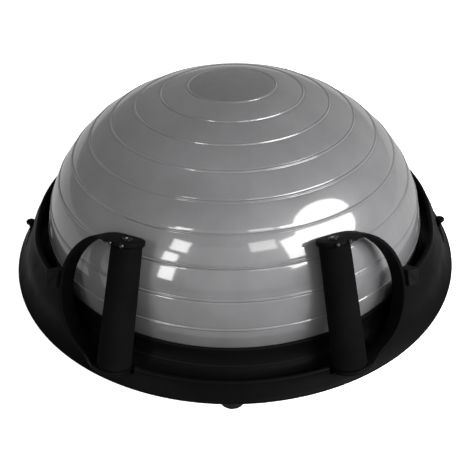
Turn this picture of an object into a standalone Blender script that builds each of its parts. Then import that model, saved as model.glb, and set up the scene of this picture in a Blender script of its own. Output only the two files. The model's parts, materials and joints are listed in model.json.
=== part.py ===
"""Half-dome balance trainer: an inflated dome clamped to a round base with four D-shaped grips.

The trainer stands on z = 0 and faces -Y. Lengths are in metres.
"""

from math import atan2, cos, pi, radians, sin

import bmesh
import bpy
from mathutils import Matrix, Vector

GAP = 0.0003
SHARP_ANGLE = radians(35)

# Base
RIM_RADIUS = 0.300
RIM_LEVEL = 0.032
CREST_LEVEL = 0.047
SHOULDER_LEVEL = 0.0935
SHOULDER_START = radians(23)
SHOULDER_FULL = radians(41)
SHOULDER_LEAN = 0.0055
LEAN_START = radians(62)
LEAN_FULL = radians(80)
WALL_OUTLINE = ((0.300, 0.032), (0.2885, 0.047), (0.2805, 0.068), (0.2665, 0.0935))
WALL_THICKNESS = 0.0055
TROUGH_RADIUS = 0.2722
TROUGH_LEVEL = 0.0385
TROUGH_ROUND = 0.0125
SHELF_RADIUS = 0.2620
DECK_LEVEL = 0.0455
DECK_THICKNESS = 0.004
DECK_HOLE_RADIUS = 0.030
SHELL_BOTTOM = 0.0183
BASE_STEPS = 68

# Platform plate under the base
PLATE_RADIUS = 0.2835
PLATE_BOTTOM = 0.0098
PLATE_TOP = 0.0180
PLATE_HOLE_RADIUS = 0.014
RIB_HEIGHT = 0.0265
RIB_RADII = (0.110, 0.200)
RIB_WIDTH = 0.004
BOSS_WIDTH = 0.010

# Dome
DOME_RADIUS = 0.2505
DOME_RISE = 0.1925
DOME_LEVEL = 0.062
DOME_WALL = 0.003
FLANGE_RADIUS = 0.256
FLANGE_THICKNESS = 0.0015
CLAMP_HEIGHT = 0.0145
VALVE_HOLE_RADIUS = 0.009

# Feet
FOOT_COUNT = 6
FOOT_RING_RADIUS = 0.2700
FOOT_RADIUS = 0.015
FOOT_SCREW_HEAD = 0.0042
FOOT_SCREW_SHANK = 0.002
FOOT_SCREW_SEAT = 0.0045
FOOT_SCREW_TIP = 0.0235

# Handles: the grip's axis runs between two points given as radius, azimuth and height
GRIP_TOP = (0.2345, radians(26.2), 0.1705)
GRIP_BOTTOM = (0.2934, radians(25.0), 0.0515)
BACK_TURN = radians(8.5)
BACK_DROP = 0.0035
HANDLE_SIDES = {"front_right": (1, 1), "front_left": (-1, 1), "back_right": (1, -1), "back_left": (-1, -1)}
GRIP_RADIUS_TOP = 0.0158
GRIP_RADIUS_BOTTOM = 0.0180
CAP_RADIUS = 0.0182
CAP_ANGLES = (12, 40, 65, 90)
CORE_RADIUS = 0.0062
BOLT_RADIUS = 0.003
BOLT_HEAD_RADIUS = 0.0055
BOLT_HEAD_HEIGHT = 0.0012
BOW_REACH = 0.0815
BOW_THICKNESS = 0.0042
BOW_SQUARENESS = 2.05
BOW_FRONT = 0.001
BOW_BACK = 0.0190
BOW_STEPS = 18
BOW_SLOT = 0.0024
SEAT_REACH = 0.045
BRACKET_LENGTH = 0.0145
BRACKET_HALF_HEIGHT = 0.0110
BRACKET_RISE = 0.0070
BRACKET_FRONT = 0.0045
BRACKET_BACK = 0.0120
CAP_SCREW_SPACING = 0.0138
CAP_SCREW_HEAD = 0.0021
CAP_SCREW_SHANK = 0.0011

# Side finger slots and the posts that take a resistance band
SLOT_AZIMUTH = radians(86.5)
SLOT_HALF_LENGTH = 0.044
SLOT_BOTTOM = 0.0465
SLOT_TOP = 0.0790
POST_RING_RADIUS = 0.2858
POST_RADIUS = 0.0034
POST_HEAD_RADIUS = 0.0058
POST_HEIGHT = 0.0150


def clear_scene():
    for old in list(bpy.data.objects):
        bpy.data.objects.remove(old)


def material(name, colour, roughness, metallic=0.0):
    made = bpy.data.materials.new(name)
    made.use_nodes = True
    shader = made.node_tree.nodes["Principled BSDF"]
    shader.inputs["Base Color"].default_value = (*colour, 1.0)
    shader.inputs["Roughness"].default_value = roughness
    shader.inputs["Metallic"].default_value = metallic
    return made


def dress(mesh, look):
    """Gives a mesh its material, smooth faces and sharp edges."""
    mesh.materials.append(look)
    for face in mesh.polygons:
        face.use_smooth = True
    mesh.set_sharp_from_angle(angle=SHARP_ANGLE)
    return mesh


def add_object(name, mesh, place=None):
    made = bpy.data.objects.new(name, mesh)
    made.matrix_world = place or Matrix()
    bpy.context.scene.collection.objects.link(made)
    return made


def mesh_of(name, work):
    bmesh.ops.recalc_face_normals(work, faces=work.faces)
    mesh = bpy.data.meshes.new(name)
    work.to_mesh(mesh)
    work.free()
    return mesh


def lathe_mesh(name, outline, steps, closed=True):
    """Spins an outline of (radius, height) points about Z; an open outline starts and ends on the axis."""
    work = bmesh.new()
    points = [work.verts.new((radius, 0, height)) for radius, height in outline]
    edges = [work.edges.new(pair) for pair in zip(points, points[1:])]
    if closed:
        edges.append(work.edges.new((points[-1], points[0])))
    bmesh.ops.spin(work, geom=points + edges, cent=(0, 0, 0), axis=(0, 0, 1), angle=2 * pi, steps=steps)
    bmesh.ops.remove_doubles(work, verts=work.verts, dist=1e-6)
    return mesh_of(name, work)


def arc(centre, radius, start, end, steps):
    """Points of a circular arc, from start to end in degrees."""
    angles = [radians(start + (end - start) * step / steps) for step in range(steps + 1)]
    return [(centre[0] + radius * cos(a), centre[1] + radius * sin(a)) for a in angles]


def as_cutter(made):
    made.hide_render = True
    made.display_type = "WIRE"
    return made


def cut(target, cutter):
    change = target.modifiers.new(cutter.name, "BOOLEAN")
    change.operation = "DIFFERENCE"
    change.object = cutter


def box_mesh(name, low, high):
    work = bmesh.new()
    bmesh.ops.create_cube(work, size=1)
    size = [b - a for a, b in zip(low, high)]
    centre = [(a + b) / 2 for a, b in zip(low, high)]
    bmesh.ops.transform(work, matrix=Matrix.LocRotScale(centre, None, size), verts=work.verts)
    return mesh_of(name, work)


def rods_mesh(name, rods, steps=10):
    """One mesh of separate cylinders; each rod is (start, end, radius)."""
    work = bmesh.new()
    for start, end, radius in rods:
        start, end = Vector(start), Vector(end)
        turn = (end - start).to_track_quat("Z", "Y")
        place = Matrix.LocRotScale((start + end) / 2, turn, None)
        depth = (end - start).length
        bmesh.ops.create_cone(
            work, cap_ends=True, segments=steps, radius1=radius, radius2=radius, depth=depth, matrix=place
        )
    return mesh_of(name, work)


def polar(radius, azimuth, height):
    return Vector((radius * sin(azimuth), -radius * cos(azimuth), height))


# ---------------------------------------------------------------- base


def wall_radius(height):
    """Outer radius of the base wall at a height, along a smooth curve through WALL_OUTLINE."""
    points = WALL_OUTLINE
    for index in range(len(points) - 1):
        low, high = points[index], points[index + 1]
        if height <= high[1] or index == len(points) - 2:
            break
    before = points[max(index - 1, 0)]
    after = points[min(index + 2, len(points) - 1)]
    span = high[1] - low[1]
    along = (height - low[1]) / span
    slope_low = (high[0] - before[0]) / (high[1] - before[1]) * span
    slope_high = (after[0] - low[0]) / (after[1] - low[1]) * span
    square, cube = along**2, along**3
    return (
        low[0] * (2 * cube - 3 * square + 1)
        + slope_low * (cube - 2 * square + along)
        + high[0] * (3 * square - 2 * cube)
        + slope_high * (cube - square)
    )


def smooth_step(value, start, full):
    along = min(max((value - start) / (full - start), 0), 1)
    return along * along * (3 - 2 * along)


def side_angle(azimuth):
    """Angle from the front or, on the back half, from the back; the back handles sit a little closer in."""
    folded = abs(atan2(sin(azimuth), cos(azimuth)))
    if folded <= pi / 2:
        return folded
    folded = pi - folded
    return min(folded + BACK_TURN, pi / 2)


def base_section(azimuth):
    """The closed outline of the base shell at an azimuth: low at front and back, raised along the sides."""
    angle = side_angle(azimuth)
    rise = smooth_step(angle, SHOULDER_START, SHOULDER_FULL)
    lean = SHOULDER_LEAN * smooth_step(angle, LEAN_START, LEAN_FULL)
    top = CREST_LEVEL + rise * (SHOULDER_LEVEL - CREST_LEVEL)

    def outer(height):
        return wall_radius(height) - lean * max((height - CREST_LEVEL) / (SHOULDER_LEVEL - CREST_LEVEL), 0)

    outline = [(0.2880, SHELL_BOTTOM), (0.2975, 0.0285)]
    heights = [RIM_LEVEL + (top - RIM_LEVEL) * step / 5 for step in range(6)]
    outline += [(outer(height), height) for height in heights]
    half = WALL_THICKNESS / 2
    outline += arc((outline[-1][0] - half, top), half, 50, 130, 1)
    trough_top = TROUGH_LEVEL + TROUGH_ROUND / 2
    inner = [top - (top - trough_top) * step / 3 for step in range(3)]
    outline += [(outer(height) - WALL_THICKNESS, height) for height in inner]
    outline += arc((TROUGH_RADIUS, TROUGH_LEVEL + TROUGH_ROUND), TROUGH_ROUND, -35, -143, 3)
    outline += [
        (SHELF_RADIUS, DECK_LEVEL),
        (DECK_HOLE_RADIUS, DECK_LEVEL),
        (DECK_HOLE_RADIUS, DECK_LEVEL - DECK_THICKNESS),
        (0.2565, DECK_LEVEL - DECK_THICKNESS),
        (0.2620, 0.0300),
        (0.2880, 0.0300),
        (0.2845, SHELL_BOTTOM),
    ]
    return outline


def base_shell(look):
    work = bmesh.new()
    rings = []
    for step in range(BASE_STEPS):
        azimuth = 2 * pi * step / BASE_STEPS
        section = base_section(azimuth)
        rings.append([work.verts.new((r * sin(azimuth), -r * cos(azimuth), z)) for r, z in section])
    count = len(rings[0])
    for ring, following in zip(rings, rings[1:] + rings[:1]):
        for index in range(count):
            after = (index + 1) % count
            work.faces.new((ring[index], following[index], following[after], ring[after]))
    return add_object("base_shell", dress(mesh_of("base_shell", work), look))


def platform_plate(look):
    top_side = []
    for radius in RIB_RADII:
        top_side += [
            (radius, PLATE_TOP),
            (radius, RIB_HEIGHT),
            (radius + RIB_WIDTH, RIB_HEIGHT),
            (radius + RIB_WIDTH, PLATE_TOP),
        ]
    inner, outer = FOOT_RING_RADIUS - BOSS_WIDTH / 2, FOOT_RING_RADIUS + BOSS_WIDTH / 2
    top_side += [(inner, PLATE_TOP), (inner, RIB_HEIGHT), (outer, RIB_HEIGHT), (outer, PLATE_TOP)]
    outline = [(PLATE_HOLE_RADIUS, PLATE_BOTTOM), (PLATE_HOLE_RADIUS, PLATE_TOP)]
    outline += top_side
    outline += [(PLATE_RADIUS, PLATE_TOP), (PLATE_RADIUS, PLATE_BOTTOM + 0.002)]
    outline += [(PLATE_RADIUS - 0.002, PLATE_BOTTOM)]
    return add_object("platform_plate", dress(lathe_mesh("platform_plate", outline, 42), look))


# ---------------------------------------------------------------- dome


def dome_outline(inset, steps):
    """Ellipse arc from the equator up to the apex, inset by the wall thickness."""
    angles = [radians(90 * step / steps) for step in range(steps + 1)]
    wide, tall = DOME_RADIUS - inset, DOME_RISE - inset
    return [(wide * cos(a), DOME_LEVEL + tall * sin(a)) for a in angles]


def dome_bladder(look):
    bottom = DECK_LEVEL + GAP
    flange_top = bottom + FLANGE_THICKNESS
    outer = dome_outline(0, 9)
    inner = dome_outline(DOME_WALL, 5)
    outer[-1] = (0, outer[-1][1])
    inner[-1] = (0, inner[-1][1])
    outline = list(reversed(inner))
    outline += [(DOME_RADIUS - DOME_WALL - 0.002, bottom + DOME_WALL)]
    outline += [(VALVE_HOLE_RADIUS, bottom + DOME_WALL), (VALVE_HOLE_RADIUS, bottom)]
    outline += [(FLANGE_RADIUS, bottom), (FLANGE_RADIUS, flange_top), (DOME_RADIUS, flange_top)]
    outline += outer
    return add_object("dome_bladder", dress(lathe_mesh("dome_bladder", outline, 44, closed=False), look))


def dome_clamp_ring(look):
    """The ring round the dome's lower edge, hollowed outside so that it runs on into the trough."""
    low = DECK_LEVEL + GAP + FLANGE_THICKNESS + GAP
    high = low + CLAMP_HEIGHT
    inner = DOME_RADIUS + 0.0008
    outline = [(inner, low), (inner, high), (inner + 0.0016, high), (inner + 0.0030, high - 0.0012)]
    outline += [(inner + 0.0038, low + 0.0085), (inner + 0.0062, low + 0.0035)]
    outline += [(SHELF_RADIUS, low + 0.0006), (SHELF_RADIUS, low)]
    return add_object("dome_clamp_ring", dress(lathe_mesh("dome_clamp_ring", outline, 60), look))


def valve_body(look):
    """A rubber neck that grips the bladder's floor between two flanges and reaches down to the plate."""
    floor_low = DECK_LEVEL + GAP
    floor_high = floor_low + DOME_WALL
    tube, flange, bore, thick = 0.0082, 0.015, 0.0045, 0.002
    lowest = PLATE_BOTTOM + 0.0028
    outline = [
        (bore, lowest),
        (0.0125, lowest),
        (0.0125, lowest + thick),
        (tube, lowest + thick),
        (tube, floor_low - GAP - thick),
        (flange, floor_low - GAP - thick),
        (flange, floor_low - GAP),
        (tube, floor_low - GAP),
        (tube, floor_high + GAP),
        (flange, floor_high + GAP),
        (flange, floor_high + GAP + thick),
        (bore, floor_high + GAP + thick),
    ]
    return add_object("valve_body", dress(lathe_mesh("valve_body", outline, 20), look))


def valve_plug(look):
    """The air plug, pulled straight down out of the valve; its origin is on the slide's axis."""
    head, stem, length = 0.0100, 0.0041, 0.022
    outline = [(0, 0), (head - 0.0006, 0), (head, 0.0006), (head, 0.0024), (stem, 0.0024)]
    outline += [(stem, length - 0.001), (stem - 0.001, length), (0, length)]
    mesh = dress(lathe_mesh("valve_plug", outline, 20, closed=False), look)
    return add_object("valve_plug", mesh, Matrix.Translation((0, 0, PLATE_BOTTOM + 0.0001)))


# ---------------------------------------------------------------- feet


def foot_mesh(look):
    """A rubber pad with a stepped hole: the recess for the screw's head, then the hole for its shank."""
    height = PLATE_BOTTOM - GAP
    hole = FOOT_SCREW_SHANK + 0.0004
    recess = FOOT_SCREW_HEAD + 0.0006
    outline = [(recess, 0), (FOOT_RADIUS - 0.0020, 0), (FOOT_RADIUS - 0.0006, 0.0008)]
    outline += [(FOOT_RADIUS, 0.0022), (FOOT_RADIUS, height), (hole, height)]
    outline += [(hole, FOOT_SCREW_SEAT), (recess, FOOT_SCREW_SEAT)]
    return dress(lathe_mesh("rubber_foot", outline, 16), look)


def foot_screw_mesh(look):
    head_low = 0.0020
    head_high = FOOT_SCREW_SEAT - GAP
    head, shank = FOOT_SCREW_HEAD, FOOT_SCREW_SHANK
    outline = [(0, head_low), (head - 0.001, head_low), (head, head_low + 0.001), (head, head_high)]
    outline += [(shank, head_high), (shank, FOOT_SCREW_TIP - 0.001), (0, FOOT_SCREW_TIP)]
    return dress(lathe_mesh("foot_screw", outline, 8, closed=False), look)


def feet(rubber, steel, plate):
    foot, screw = foot_mesh(rubber), foot_screw_mesh(steel)
    holes = []
    for number in range(FOOT_COUNT):
        spot = polar(FOOT_RING_RADIUS, 2 * pi * number / FOOT_COUNT, 0)
        add_object(f"rubber_foot_{number + 1}", foot, Matrix.Translation(spot))
        add_object(f"foot_screw_{number + 1}", screw, Matrix.Translation(spot))
        low, high = Vector((0, 0, PLATE_BOTTOM - 0.002)), Vector((0, 0, FOOT_SCREW_TIP + 0.001))
        holes.append((spot + low, spot + high, FOOT_SCREW_SHANK + GAP))
    cut(plate, as_cutter(add_object("foot_screw_holes", rods_mesh("foot_screw_holes", holes))))


# ---------------------------------------------------------------- handles


def grip_length():
    return (polar(*GRIP_TOP) - polar(*GRIP_BOTTOM)).length


def handle_frame():
    """Origin halfway up the front right grip, Z up the grip, X sideways and Y in towards the dome."""
    top, bottom = polar(*GRIP_TOP), polar(*GRIP_BOTTOM)
    up = (top - bottom).normalized()
    middle = (top + bottom) / 2
    outward = Vector((middle.x, middle.y, 0)).normalized()
    outward = (outward - up * outward.dot(up)).normalized()
    inward = -outward
    sideways = inward.cross(up)
    frame = Matrix((sideways, inward, up)).transposed().to_4x4()
    frame.translation = middle
    return frame


def handle_place(side):
    """Carries the front right handle's frame to one of the four sides."""
    across, along = HANDLE_SIDES[side]
    mirror = Matrix.Diagonal((across, along, 1, 1))
    if along < 0:
        mirror = Matrix.Rotation(across * BACK_TURN, 4, "Z") @ mirror
        mirror = Matrix.Translation((0, 0, -BACK_DROP)) @ mirror
    return mirror @ handle_frame()


def bow_path(half_height, reach):
    """Points (x, z) down one face of the bow: over the cap, round a rounded D and back under the grip."""
    power = 2 / BOW_SQUARENESS
    start = CAP_RADIUS
    cap = [-CAP_RADIUS * cos(radians(step)) for step in CAP_ANGLES]
    path = [(across, half_height) for across in cap]
    for step in range(BOW_STEPS + 1):
        angle = pi / 2 - pi * step / BOW_STEPS
        across = start + (reach - start) * abs(cos(angle)) ** power
        up = abs(sin(angle)) ** power * (1 if angle > 0 else -1)
        path.append((across, half_height * up))
    path += [(across, -half_height) for across in reversed(cap)]
    return path


def bow_depth(across):
    """How far the bow reaches to the front and to the back of the grip's axis, this far sideways from it."""
    if across <= 0:
        round_end = (max(CAP_RADIUS**2 - across**2, 0)) ** 0.5
        return round_end, round_end
    change = smooth_step(across, CAP_RADIUS * 0.3, BOW_REACH * 0.55)
    front = CAP_RADIUS + (BOW_FRONT - CAP_RADIUS) * change
    back = CAP_RADIUS + (BOW_BACK - CAP_RADIUS) * change
    return front, back


def bow_mesh(look):
    """The D-shaped handle frame: a band as wide as the grip over its ends, set back round the bend."""
    half = grip_length() / 2 + BOW_THICKNESS
    outer = bow_path(half, BOW_REACH)
    inner = bow_path(half - BOW_THICKNESS, BOW_REACH - BOW_THICKNESS)
    work = bmesh.new()
    rows = []
    for (x, z), (inner_x, inner_z) in zip(outer, inner):
        front, back = bow_depth(x)
        corners = ((x, -front, z), (x, back, z), (inner_x, back, inner_z), (inner_x, -front, inner_z))
        rows.append([work.verts.new(corner) for corner in corners])
    for row, following in zip(rows, rows[1:]):
        for index in range(4):
            after = (index + 1) % 4
            work.faces.new((row[index], row[after], following[after], following[index]))
    work.faces.new(rows[0])
    work.faces.new(rows[-1])
    return dress(mesh_of("handle_bow", work), look)


def seat_mesh():
    """The space kept clear of the base round a bow: its outline, wider by the slot, cut from the front."""
    half = grip_length() / 2 + BOW_THICKNESS + BOW_SLOT
    path = bow_path(half, BOW_REACH + BOW_SLOT)
    path[0] = (-CAP_RADIUS - BOW_SLOT, half)
    path[-1] = (-CAP_RADIUS - BOW_SLOT, -half)
    work = bmesh.new()
    back = BOW_BACK + BOW_SLOT
    near = work.faces.new([work.verts.new((x, -SEAT_REACH, z)) for x, z in path])
    pushed = bmesh.ops.extrude_face_region(work, geom=[near])["geom"]
    moved = [item for item in pushed if isinstance(item, bmesh.types.BMVert)]
    bmesh.ops.translate(work, verts=moved, vec=(0, SEAT_REACH + back, 0))
    return mesh_of("bow_seat", work)


def grip_sleeve_mesh(look):
    half = grip_length() / 2 - GAP
    bore = CORE_RADIUS + GAP
    outline = [(bore, -half), (GRIP_RADIUS_BOTTOM - 0.001, -half), (GRIP_RADIUS_BOTTOM, -half + 0.001)]
    outline += [(GRIP_RADIUS_TOP, half - 0.001), (GRIP_RADIUS_TOP - 0.001, half), (bore, half)]
    return dress(lathe_mesh("grip_sleeve", outline, 20), look)


def grip_core_mesh(look):
    half = grip_length() / 2 - GAP
    bore = BOLT_RADIUS + GAP
    outline = [(bore, -half), (CORE_RADIUS, -half), (CORE_RADIUS, half), (bore, half)]
    return dress(lathe_mesh("grip_core", outline, 10), look)


def grip_bolt_mesh(look):
    cap = grip_length() / 2 + BOW_THICKNESS
    seat, top = cap + GAP, cap + GAP + BOLT_HEAD_HEIGHT
    outline = [(0, -cap + 0.001), (BOLT_RADIUS, -cap + 0.001), (BOLT_RADIUS, seat)]
    outline += [(BOLT_HEAD_RADIUS, seat), (BOLT_HEAD_RADIUS, seat + BOLT_HEAD_HEIGHT * 0.6)]
    outline += [(BOLT_HEAD_RADIUS * 0.6, top), (0, top)]
    return dress(lathe_mesh("grip_bolt", outline, 10, closed=False), look)


def cap_screw_mesh(look):
    """Screw with its seat at the origin and its shank along -Z."""
    head, shank = CAP_SCREW_HEAD, CAP_SCREW_SHANK
    outline = [(0, -0.008), (shank, -0.007), (shank, 0), (head, 0), (head, 0.001), (head * 0.6, 0.0022)]
    outline += [(0, 0.0024)]
    return dress(lathe_mesh("cap_screw", outline, 8, closed=False), look)


def cap_screw_places():
    """Where the two screws sit in the front of the bow's upper end, their heads facing the front."""
    places = {}
    for letter, side in (("a", -1), ("b", 1)):
        across = side * CAP_SCREW_SPACING / 2
        edges = (across - CAP_SCREW_HEAD, across + CAP_SCREW_HEAD)
        front = max(bow_depth(edge)[0] for edge in edges) + GAP
        spot = Vector((across, -front, (grip_length() + BOW_THICKNESS) / 2))
        places[letter] = Matrix.Translation(spot) @ Matrix.Rotation(pi / 2, 4, "X")
    return places


def bow_holes_mesh():
    reach = grip_length() / 2 + BOW_THICKNESS + 0.003
    rods = [((0, 0, -reach), (0, 0, reach), BOLT_RADIUS + GAP)]
    for place in cap_screw_places().values():
        rods.append((place @ Vector((0, 0, -0.009)), place @ Vector((0, 0, 0.002)), CAP_SCREW_SHANK + GAP))
    return rods_mesh("bow_holes", rods)


def bracket_box(name, slack, front):
    """The block beside the bow's bend, or with slack the pocket for it, open to the front."""
    reach = BRACKET_HALF_HEIGHT + slack
    low = (BOW_REACH + GAP - slack, -front, BRACKET_RISE - reach)
    high = (BOW_REACH + BRACKET_LENGTH + slack, BRACKET_BACK + slack, BRACKET_RISE + reach)
    return box_mesh(name, low, high)


def handles(plastic, rubber, steel, base):
    pieces = {
        "grip_sleeve": grip_sleeve_mesh(rubber),
        "grip_core": grip_core_mesh(plastic),
        "grip_bolt": grip_bolt_mesh(steel),
        "bow_bracket": dress(bracket_box("bow_bracket", 0, BRACKET_FRONT), plastic),
    }
    bow, screw = bow_mesh(plastic), cap_screw_mesh(steel)
    holes, seat = bow_holes_mesh(), seat_mesh()
    pocket = bracket_box("bracket_pocket", GAP, SEAT_REACH)
    for side in HANDLE_SIDES:
        place = handle_place(side)
        for name, mesh in pieces.items():
            add_object(f"{name}_{side}", mesh, place)
        for letter, spot in cap_screw_places().items():
            add_object(f"cap_screw_{letter}_{side}", screw, place @ spot)
        made = add_object(f"handle_bow_{side}", bow, place)
        cut(made, as_cutter(add_object(f"bow_holes_{side}", holes, place)))
        cut(base, as_cutter(add_object(f"bow_seat_{side}", seat, place)))
        cut(base, as_cutter(add_object(f"bracket_pocket_{side}", pocket, place)))


# ---------------------------------------------------------------- side slots and posts


def band_post_mesh(look):
    head, neck = POST_HEAD_RADIUS, POST_HEIGHT * 0.6
    outline = [(0, 0), (POST_RADIUS, 0), (POST_RADIUS, neck), (head, neck + 0.0015)]
    outline += [(head, POST_HEIGHT - 0.0025), (head * 0.75, POST_HEIGHT - 0.0005), (0, POST_HEIGHT)]
    return dress(lathe_mesh("band_post", outline, 14, closed=False), look)


def side_slots(plastic, base):
    post = band_post_mesh(plastic)
    low = (-SLOT_HALF_LENGTH, -RIM_RADIUS - 0.010, SLOT_BOTTOM)
    high = (SLOT_HALF_LENGTH, -DOME_RADIUS - 0.0055, SLOT_TOP)
    slot = box_mesh("slot", low, high)
    for azimuth, name in ((SLOT_AZIMUTH, "right"), (-SLOT_AZIMUTH, "left")):
        turned = Matrix.Rotation(azimuth, 4, "Z")
        cut(base, as_cutter(add_object(f"slot_{name}", slot, turned)))
        stand = polar(POST_RING_RADIUS, azimuth, SLOT_BOTTOM + GAP)
        add_object(f"band_post_{name}", post, Matrix.Translation(stand))


def main():
    clear_scene()
    black = material("black_plastic", (0.012, 0.012, 0.013), 0.42)
    vinyl = material("grey_vinyl", (0.155, 0.155, 0.160), 0.30)
    foam = material("black_grip", (0.016, 0.016, 0.017), 0.75)
    rubber = material("black_rubber", (0.015, 0.015, 0.015), 0.80)
    steel = material("dark_steel", (0.20, 0.20, 0.21), 0.35, metallic=1.0)
    base = base_shell(black)
    plate = platform_plate(black)
    dome_bladder(vinyl)
    dome_clamp_ring(black)
    valve_body(rubber)
    valve_plug(black)
    feet(rubber, steel, plate)
    handles(black, foam, steel, base)
    side_slots(black, base)


main()
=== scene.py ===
"""Looks of the balance dome trainer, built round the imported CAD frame.

The trainer stands on z = 0 and faces -Y. Lengths are in metres.
"""

import json
from math import atan2, cos, pi, radians, sin, sqrt

import bmesh
import bpy
from mathutils import Matrix, Vector


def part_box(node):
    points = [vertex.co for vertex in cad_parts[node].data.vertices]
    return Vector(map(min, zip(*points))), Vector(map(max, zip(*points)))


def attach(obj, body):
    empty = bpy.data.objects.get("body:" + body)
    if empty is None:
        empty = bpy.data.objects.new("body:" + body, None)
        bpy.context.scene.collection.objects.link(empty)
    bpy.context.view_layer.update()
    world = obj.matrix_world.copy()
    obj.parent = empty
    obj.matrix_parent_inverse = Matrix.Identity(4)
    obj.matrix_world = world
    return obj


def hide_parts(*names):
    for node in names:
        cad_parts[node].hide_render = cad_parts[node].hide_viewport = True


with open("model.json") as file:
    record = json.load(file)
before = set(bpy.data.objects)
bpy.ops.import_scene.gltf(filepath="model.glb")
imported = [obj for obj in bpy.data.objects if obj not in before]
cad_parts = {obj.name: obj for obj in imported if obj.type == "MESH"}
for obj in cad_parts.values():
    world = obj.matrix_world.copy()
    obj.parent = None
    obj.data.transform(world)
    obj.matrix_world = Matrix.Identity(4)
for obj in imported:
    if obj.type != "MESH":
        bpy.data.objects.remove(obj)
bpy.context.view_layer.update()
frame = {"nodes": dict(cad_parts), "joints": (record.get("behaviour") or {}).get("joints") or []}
ROOT = "trainer"
SIDES = ("front_right", "front_left", "back_right", "back_left")

# Sizes read from the frame
RIM_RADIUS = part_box("base_shell")[1].x
SHELL_BOTTOM, SHOULDER_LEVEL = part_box("base_shell")[0].z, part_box("base_shell")[1].z
PLATE_LOW, PLATE_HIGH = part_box("platform_plate")
FLANGE_RADIUS, CROWN_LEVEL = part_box("dome_bladder")[1].x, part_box("dome_bladder")[1].z
DECK_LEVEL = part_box("dome_bladder")[0].z - 0.0003
CLAMP_LOW, CLAMP_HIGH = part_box("dome_clamp_ring")

# Base section
RIM_LEVEL = 0.032
RIM_ROUND = 0.0035
CREST_LEVEL = 0.047
WALL_OUTLINE = ((0.300, 0.032), (0.2885, 0.047), (0.2805, 0.068), (0.2665, SHOULDER_LEVEL))
WALL_THICKNESS = 0.0055
SHOULDER_START = radians(23)
SHOULDER_FULL = radians(41)
SHOULDER_LEAN = 0.0055
LEAN_START = radians(62)
LEAN_FULL = radians(80)
BACK_TURN = radians(8.5)
TROUGH_RADIUS = 0.2722
TROUGH_LEVEL = 0.0385
TROUGH_ROUND = 0.0125
SHELF_RADIUS = CLAMP_HIGH.x
DECK_THICKNESS = 0.004
DECK_HOLE_RADIUS = 0.030
BASE_STEPS = 216
SLOT_AZIMUTH = radians(86.5)
SLOT_HALF_LENGTH = 0.044
SLOT_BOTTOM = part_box("band_post_right")[0].z - 0.0003
SLOT_TOP = 0.0790
SLOT_ROUND = 0.010

# Dome
DOME_RADIUS = FLANGE_RADIUS - 0.0055
DOME_LEVEL = CLAMP_HIGH.z
DOME_RISE = CROWN_LEVEL - DOME_LEVEL
RING_COUNT = 9
FIRST_RING = 0.0537
RING_SPACING = 0.03405
RING_HALF_WIDTH = 0.0013
RING_HEIGHT = 0.0010
BAND_BULGE = 0.0004
DISC_RADIUS = 0.0515
DOME_STEPS = 192

# Handles
BOW_REACH = 0.0815
BOW_THICKNESS = 0.0042
BOW_SQUARENESS = 2.05
BOW_FRONT = 0.001
BOW_BACK = 0.0190
BOW_SLOT = 0.0024
BOW_STEPS = 56
CAP_RADIUS = 0.0182
CORE_RADIUS = 0.0062
GRIP_RADIUS_TOP = 0.0158
GRIP_RADIUS_BOTTOM = 0.0180
BACK_GRIP_SLIMMER = 0.0019
SEAT_REACH = 0.045
BRACKET_TRIM = 0.0018
EDGE_ROUND = 0.0009
GRIP_END_GAP = 0.0006
GRIP_END_ROUND = 0.0022
CAP_SCREW_HEAD = 0.0021
CAP_SCREW_LENGTH = 0.0104

# Small parts
PLATE_THICK_LEVEL = 0.0180
PLATE_HOLE_RADIUS = 0.014
PLATE_RIB_WIDTH = 0.004
PLATE_RIBS = (0.110, 0.200)
FOOT_BOSS_RADIUS = 0.2650
FOOT_BOSS_WIDTH = 0.010
PLATE_GROOVES = (0.230, 0.150, 0.075)
SCREW_HOLE_RADIUS = 0.0023
FOOT_HOLE_RADIUS = 0.0024
FOOT_RECESS_RADIUS = 0.0048
FOOT_RECESS_DEPTH = 0.0045
FOOT_SCREW_HEAD = 0.0042
FOOT_SCREW_SHANK = 0.002
BOLT_HEAD_RADIUS = 0.0055
BOLT_HEAD_HEIGHT = 0.0012
BOLT_RADIUS = 0.003
POST_HEAD_RADIUS = 0.0058
POST_RADIUS = 0.0034
PLUG_STEM_RADIUS = 0.0041
PLUG_HEAD_HEIGHT = 0.0024
PLUG_RINGS = (0.0075, 0.0110, 0.0145)

# Room and camera
DOME_MIDDLE = (0, 0, 0.12)
FLOOR_REACH = 30.0
FLOOR_GLOW = 0.85
FLOOR_BOUNCE = 0.13
FLOOR_MIRRORED = 0.58
HORIZON_GLOW = 0.31
OVERHEAD_GLOW = 0.20
CAMERA_LENS = 42.89
CAMERA_PLACE = (0.0005, -0.6507, 0.5160)
CAMERA_PITCH = radians(37.295)
CAMERA_ROLL = radians(1.074)
CAMERA_TURN = radians(1.2)


# ---------------------------------------------------------------- mesh helpers


def shade(made, sharp=40):
    for face in made.data.polygons:
        face.use_smooth = True
    made.data.set_sharp_from_angle(angle=radians(sharp))
    return made


def piece(name, mesh, look, body=ROOT, stands_for=(), place=None):
    """A visible piece: named, dressed, riding on its body and standing for its CAD nodes."""
    made = bpy.data.objects.new(name, mesh)
    if not mesh.materials:
        mesh.materials.append(look)
    bpy.context.scene.collection.objects.link(made)
    made.matrix_world = place or Matrix()
    shade(made)
    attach(made, body)
    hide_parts(*stands_for)
    return made


def mesh_of(name, work):
    bmesh.ops.remove_doubles(work, verts=work.verts, dist=1e-6)
    bmesh.ops.recalc_face_normals(work, faces=work.faces)
    mesh = bpy.data.meshes.new(name)
    work.to_mesh(mesh)
    work.free()
    return mesh


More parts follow.
